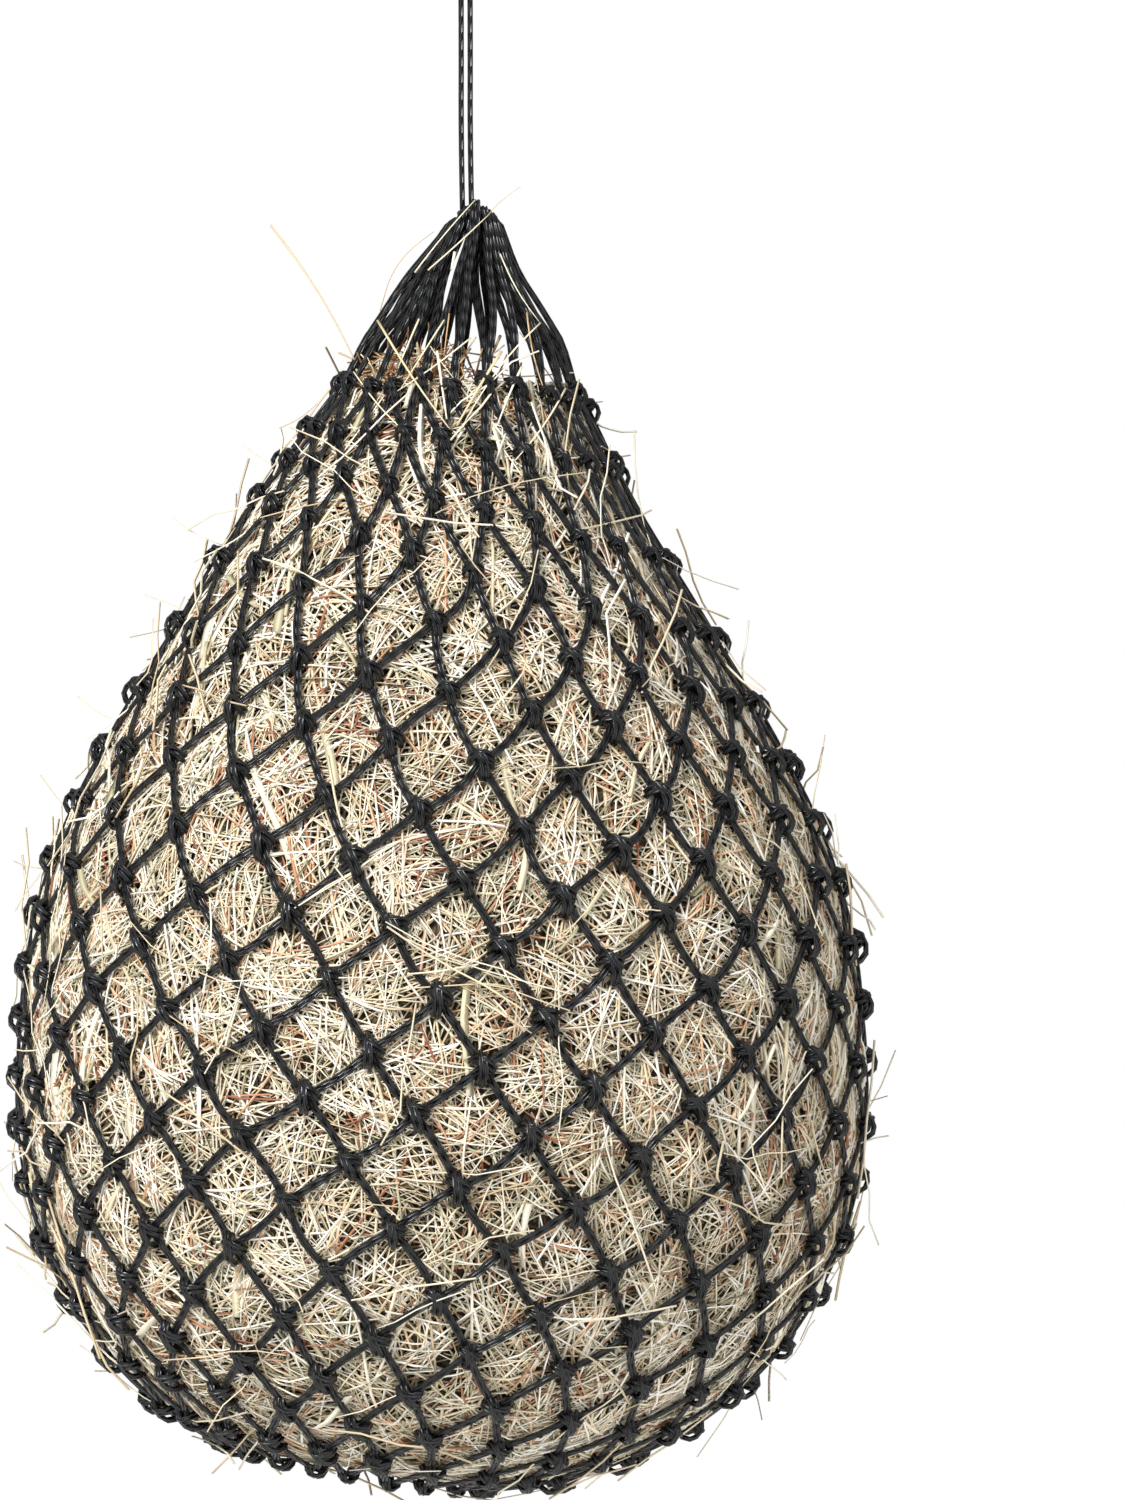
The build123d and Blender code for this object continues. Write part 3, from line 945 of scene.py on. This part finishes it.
def hay_bed(netting, hay):
    """The face of the pressed hay: a pillow in every mesh, drawn in along the twine."""
    run = np.linspace(0.0, OUT_RUN[-1] - 0.006, BED_ROWS)[:, None]
    turn = np.linspace(0, MESHES, BED_ROUND, endpoint=False)[None, :]
    places, _, _, out = net_frames(*np.broadcast_arrays(run, turn))
    tree = bar_tree(netting)
    near = np.array([tree.find(p)[2] for p in places.reshape(-1, 3)]).reshape(BED_ROWS, BED_ROUND)
    chance = np.random.default_rng(hay.seed)
    lumps = chance.uniform(-1, 1, (BED_ROWS, BED_ROUND))
    lumps = (lumps + np.roll(lumps, 1, 0) + np.roll(lumps, 1, 1) + np.roll(lumps, (1, 1), (0, 1))) / 4
    height = -hay.press + (hay.press + hay.bulge) * smooth(near / FLAT_FROM)
    height = height + LUMP * lumps * smooth(near / LUMP_FROM)
    places = places + out * height[..., None]
    middle, down, _ = base_frame(*knot_grid(netting.slack))
    over = np.maximum((places - middle) @ down + BASE_PRESS, 0.0)
    return closed_grid(places - over[..., None] * down)


def closed_grid(places):
    """Points and faces of a grid that goes round, closed by a dip at the top and a point below."""
    rows, around, _ = places.shape
    points = list(places.reshape(-1, 3))
    faces = []
    for row in range(rows - 1):
        for k in range(around):
            a, b = row * around + k, row * around + (k + 1) % around
            faces.append((a, a + around, b + around, b))
    points.append(places[-1].mean(axis=0))
    last = (rows - 1) * around
    for k in range(around):
        faces.append((last + k, len(points) - 1, last + (k + 1) % around))
    middle = places[0].mean(axis=0)
    previous = 0
    for share in (0.8, 0.6, 0.4, 0.2):
        first = len(points)
        hollow = middle - np.array((0, 0, HOLLOW)) * (1 - share)
        points += list(hollow + (places[0] - middle) * share)
        for k in range(around):
            faces.append((previous + k, previous + (k + 1) % around, first + (k + 1) % around, first + k))
        previous = first
    points.append(middle - np.array((0, 0, HOLLOW)))
    for k in range(around):
        faces.append((previous + k, previous + (k + 1) % around, len(points) - 1))
    return points, faces


def sink(mesh, depth):
    """Moves a closed face inwards."""
    places = np.zeros(len(mesh.vertices) * 3, np.float32)
    normals = np.zeros_like(places)
    mesh.vertices.foreach_get("co", places)
    mesh.vertices.foreach_get("normal", normals)
    mesh.vertices.foreach_set("co", places - depth * normals)
    mesh.update()


# name, stems a m2, shortest, longest, width in stems, flatness, lift from, to, tilt, stray, steps, shades
FAMILIES = (
    ("hay_shaded", 5600, 0.030, 0.080, 1.25, 0.6, -0.0034, -0.0014, 0.002, 0.000, 5,
     ((0.0, "#3B2E20"), (0.5, "#6E5D43"), (1.0, "#9C8D6C"))),
    ("hay_green", 5600, 0.035, 0.090, 1.00, 0.6, -0.0024, 0.0004, 0.003, 0.001, 5,
     ((0.0, "#99957A"), (0.5, "#C0BB9E"), (1.0, "#DDD8C0"))),
    ("hay_straw", 5600, 0.035, 0.095, 0.95, 0.7, -0.0018, 0.0012, 0.004, 0.001, 5,
     ((0.0, "#CBB592"), (0.5, "#E4D3B2"), (1.0, "#F2E6CF"))),
    ("hay_pale", 4600, 0.030, 0.110, 0.88, 0.7, -0.0010, 0.0018, 0.004, 0.002, 5,
     ((0.0, "#E6DAC2"), (0.5, "#F6F0E2"), (1.0, "#FFFCF5"))),
    ("hay_thin", 5600, 0.030, 0.080, 0.60, 0.8, -0.0014, 0.0018, 0.004, 0.002, 5,
     ((0.0, "#C9BC9C"), (0.5, "#EBDFC6"), (1.0, "#FBF5E6"))),
    ("hay_tan", 3400, 0.025, 0.080, 1.00, 0.6, -0.0018, 0.0014, 0.004, 0.001, 5,
     ((0.0, "#8A4A32"), (0.3, "#B98563"), (0.7, "#D9B08C"), (1.0, "#EBCFB0"))),
    ("hay_blades", 520, 0.030, 0.080, 2.60, 0.18, 0.0002, 0.0026, 0.004, 0.001, 5,
     ((0.0, "#BAB392"), (0.5, "#E2D7B8"), (1.0, "#F8F1DE"))),
    ("hay_over_twine", 420, 0.030, 0.100, 0.80, 0.7, 0.0045, 0.0085, 0.014, 0.022, 4,
     ((0.0, "#C9B48E"), (0.5, "#EADDC0"), (1.0, "#F9F2E0"))),
)


class HAYNET_OT_hay(bpy.types.Operator):
    """Fills the net: a pressed bed of hay, dark with painted shade, and the loose stems that lie on it"""
    bl_idname = "haynet.hay"
    bl_label = "Hay"

    def execute(self, context):
        hay = context.scene.hay_sizes
        points, faces = hay_bed(context.scene.netting_sizes, hay)
        # the bed's dark colour is painted shade in the gaps between the stems
        bed = link_object("hay_pressed", new_mesh("hay_pressed", points, faces=faces))
        bed.data.materials.append(painted_shade_hay())
        bed.data.shade_smooth()
        tree = stems_tree()
        for number, family in enumerate(FAMILIES):
            name, density, shortest, longest, width, *lie, shades = family
            flatness, lowest, highest, tilt, stray, steps = lie
            material = dry_stems("dried_grass_" + name[4:], shades)
            values = {"Density": float(density), "Seed": hay.seed + 31 * number, "Shortest": shortest,
                      "Longest": longest, "Width": hay.stem * width, "Flatness": flatness,
                      "Lowest": lowest, "Highest": highest, "Tilt": tilt, "Stray": stray, "Steps": steps,
                      "Material": material}
            piece = grown(bed, tree, values, name, material)
            lay_bake_map(piece.data, "side", 0.004)
            finished(piece, "bag", "hay")
        sink(bed.data, hay.cover)
        finished(bed, "bag", "hay", *FLAKES)
        return {"FINISHED"}


MM = 0.001
NECK_STEMS = 230
# stems that stand out of the neck and shoulders, in mm: x, z of both ends, bow, width, how far proud, tint
LOOSE_STEMS = (
    (-22, -269, 14, -235, 0.5, 1.6, 4.0, 0.75), (14, -235, 33, -217, -1.5, 0.6, 4.0, 0.40),
    (-30, -270, 6, -226, -1.0, 1.5, 4.0, 0.85), (-6, -258, -8, -269, 0.0, 2.0, 3.0, 0.90),
    (-52, -299, -6, -369, 1.5, 2.0, 5.0, 0.60), (-12, -300, -38, -342, 0.0, 1.3, 4.0, 0.70),
    (4, -311, -40, -343, -1.0, 1.6, 6.0, 0.80), (-20, -316, 1, -344, 0.5, 1.1, 5.0, 0.65),
    (-16, -319, -10, -360, 0.0, 2.4, 5.0, 0.95), (22, -319, -4, -364, 0.5, 2.4, 6.0, 0.55),
    (45, -301, 1, -361, 3.0, 1.3, 7.0, 0.80), (21, -259, 45, -301, 2.0, 1.3, 4.0, 0.85),
    (34, -328, 20, -363, 0.5, 1.6, 6.0, 0.90), (37, -295, 49, -346, 2.0, 1.3, 4.0, 0.45),
    (-27, -299, -39, -328, 0.0, 1.3, 4.0, 0.70), (-9, -296, -12, -322, 0.0, 1.1, 3.0, 0.35),
    (-51, -292, -19, -244, -7.0, 0.6, 2.0, 0.40), (-117, -240, -66, -322, -3.0, 1.9, 0.0, 0.55),
    (-112, -362, -86, -344, 2.0, 1.0, 0.0, 0.60), (-134, -372, -104, -392, 0.0, 1.1, 0.0, 0.80),
    (-176, -415, -146, -432, 2.0, 0.9, 0.0, 0.75), (-192, -462, -160, -476, -1.0, 0.9, 0.0, 0.70),
    (-236, -520, -204, -540, 2.0, 1.0, 0.0, 0.80), (-255, -570, -232, -598, 1.0, 0.9, 0.0, 0.60),
    (-66, -330, -30, -372, 2.0, 1.4, 6.0, 0.75), (60, -340, 30, -385, -2.0, 1.3, 6.0, 0.80),
)


def front_of_net(x, z, proud):
    """A point on the front of the net, or proud of it."""
    radius = np.where(z > FIRST_Z, neck_radius(z), bag_radius(z)) + proud
    aside = x - lean(z) - heap_shift(z)
    return np.stack([x, -np.sqrt(np.maximum(radius ** 2 - aside ** 2, 0.0)), z], -1)


class HAYNET_OT_loose_stems(bpy.types.Operator):
    """Adds the single stems that stand out of the neck and shoulders"""
    bl_idname = "haynet.loose_stems"
    bl_label = "Loose stems"

    def execute(self, context):
        shades = ((0.0, "#8C5A3C"), (0.4, "#CFA97A"), (0.7, "#EADDB8"), (1.0, "#FAF3DF"))
        material = dry_stems("dried_grass_loose", shades)
        parts = []
        for x0, z0, x1, z1, bow, width, proud, tint in LOOSE_STEMS:
            t = np.linspace(0, 1, 9)
            bend = bow * np.sin(math.pi * t)
            long = math.hypot(x1 - x0, z1 - z0)
            x = x0 + (x1 - x0) * t + bend * (z1 - z0) / long
            z = z0 + (z1 - z0) * t - bend * (x1 - x0) / long
            path = front_of_net(x * MM, z * MM, proud * MM)
            parts.append((path, width * MM, tint))
        parts += stems_in_the_neck()
        piece = stem_piece("hay_loose_stems", parts, material)
        finished(piece, "bag", "hay")
        return {"FINISHED"}


def stems_in_the_neck():
    """Hay that stands up among the mouth loops, mostly to the left."""
    chance = np.random.default_rng(17)
    parts = []
    for _ in range(NECK_STEMS):
        z = chance.uniform(-0.352, -0.318)
        r = neck_radius(z) * 0.86 * math.sqrt(chance.uniform(0.1, 1))
        angle = chance.normal(math.radians(215), 0.75)
        middle = np.array((r * math.cos(angle) + lean(z), r * math.sin(angle), z))
        way = unit(chance.normal(0, 1, 3) * (1.0, 1.0, 0.75))
        half = chance.uniform(0.010, 0.026)
        bend = unit(chance.normal(0, 1, 3)) * chance.uniform(0, 0.003)
        t = np.linspace(-1, 1, 5)[:, None]
        path = middle + way * half * t + bend * (1 - t * t)
        width = chance.uniform(0.0010, 0.0020)
        parts.append((path, width, chance.uniform(0, 0.8)))
    return parts


def stem_piece(name, parts, material):
    """One mesh of tapered stems, each with its own tint."""
    points, faces, along, tint = [], [], [], []
    sides = 6
    first = 0
    for path, width, shade in parts:
        share = np.linspace(0, 1, len(path))
        widths = width * (1.0 - 0.45 * share)
        points.append(tube_rings(path, widths, sides, 0.7))
        faces += tube_faces(len(path), sides, first)
        along.append(np.repeat(share, sides))
        tint.append(np.full(len(path) * sides, shade))
        first += len(path) * sides
    mesh = new_mesh(name, np.concatenate(points), faces=faces)
    give(mesh, "along", np.concatenate(along))
    give(mesh, "tint", np.concatenate(tint))
    give(mesh, "side", np.tile(np.arange(sides) / sides, first // sides))
    mesh.materials.append(material)
    mesh.shade_smooth()
    lay_bake_map(mesh, "side", 0.02)
    return link_object(name, mesh)


# ---- stage ----
VIEW_FROM = (0.0579, -5.0, -0.555)     # level with the bag's middle, straight in front
AIM = (0.0, 0.0, -0.6)                 # what the lights are turned to
WORLD_BELOW, WORLD_ABOVE = 0.18, 0.70  # light of the surroundings from below and from above


class HAYNET_OT_stage(bpy.types.Operator):
    """Sets a pale floor, soft studio light and the camera"""
    bl_idname = "haynet.stage"
    bl_label = "Studio"

    def execute(self, context):
        place_floor()
        light_world()
        soft_light("key_light", (-2.0, -3.4, 1.9), 1.2, 260.0)
        soft_light("fill_light", (2.6, -2.6, 0.2), 2.4, 30.0)
        place_camera(context.scene)
        context.scene.view_settings.view_transform = "Standard"
        return {"FINISHED"}


def place_floor():
    """A pale round floor under the hanging bag."""
    radius, drop, sides = 2.5, 0.25, 96
    turn = 2 * math.pi * np.arange(sides) / sides
    z = CAD_BOX[0].z - drop
    rim = np.stack([radius * np.cos(turn), radius * np.sin(turn), np.full(sides, z)], -1)
    floor = link_object("studio_floor", new_mesh("studio_floor", rim, faces=[range(sides)]))
    material, _, principled = shader("matt_white_paint", 0.8)
    principled.inputs["Base Color"].default_value = linear("#F2F2F0")
    floor.data.materials.append(material)


def light_world():
    """White all round behind the bag; as light it is softer, and softest from below."""
    world = bpy.data.worlds.new("white_studio")
    bpy.context.scene.world = world
    world.use_nodes = True
    tree = world.node_tree
    seen = add(tree, "ShaderNodeLightPath").outputs["Is Camera Ray"]
    way = add(tree, "ShaderNodeTexCoord").outputs["Generated"]
    height = add(tree, "ShaderNodeSeparateXYZ", [(0, way)]).outputs["Z"]
    soft = ranged(tree, height, WORLD_BELOW, WORLD_ABOVE, (1, -1.0))
    background = tree.nodes["Background"]
    background.inputs["Color"].default_value = (1.0, 1.0, 1.0, 1.0)
    tree.links.new(ranged(tree, seen, soft, 1.0), background.inputs["Strength"])


def soft_light(name, place, size, power):
    """A square area light turned towards the bag."""
    light = bpy.data.lights.new(name, "AREA")
    light.size = size
    light.energy = power
    holder = link_object(name, light)
    holder.location = place
    holder.rotation_euler = (Vector(AIM) - Vector(place)).to_track_quat("-Z", "Y").to_euler()


def place_camera(scene):
    """A long lens far off, so the bag is seen with little perspective."""
    camera = bpy.data.cameras.new("camera")
    camera.sensor_width = 36.0
    camera.lens = 200.0
    holder = link_object("camera", camera)
    holder.location = VIEW_FROM
    holder.rotation_euler = (math.pi / 2, 0.0, 0.0)
    scene.camera = holder


class HAYNET_PT_panel(bpy.types.Panel):
    """The steps of making the hay net, in order"""
    bl_idname = "HAYNET_PT_panel"
    bl_label = "Hay Net"
    bl_space_type = "VIEW_3D"
    bl_region_type = "UI"
    bl_category = "Hay Net"

    def draw(self, context):
        for step in STEPS:
            self.layout.operator(step.bl_idname)


STEPS = (HAYNET_OT_drawcord, HAYNET_OT_mouth, HAYNET_OT_courses, HAYNET_OT_base, HAYNET_OT_hay,
         HAYNET_OT_loose_stems, HAYNET_OT_stage)
SIZES = (("netting_sizes", NettingSizes), ("hay_sizes", HaySizes), ("cord_sizes", CordSizes))


def register():
    for name, group in SIZES:
        bpy.utils.register_class(group)
        setattr(bpy.types.Scene, name, bpy.props.PointerProperty(type=group))
    for made in STEPS + (HAYNET_PT_panel,):
        bpy.utils.register_class(made)


def unregister():
    for made in reversed(STEPS + (HAYNET_PT_panel,)):
        bpy.utils.unregister_class(made)
    for name, group in reversed(SIZES):
        delattr(bpy.types.Scene, name)
        bpy.utils.unregister_class(group)


def main():
    register()
    bpy.ops.haynet.stage()
    bpy.ops.haynet.drawcord()
    bpy.ops.haynet.mouth()
    bpy.ops.haynet.courses()
    bpy.ops.haynet.base()
    bpy.ops.haynet.hay()
    bpy.ops.haynet.loose_stems()


if __name__ == "__main__":
    main()
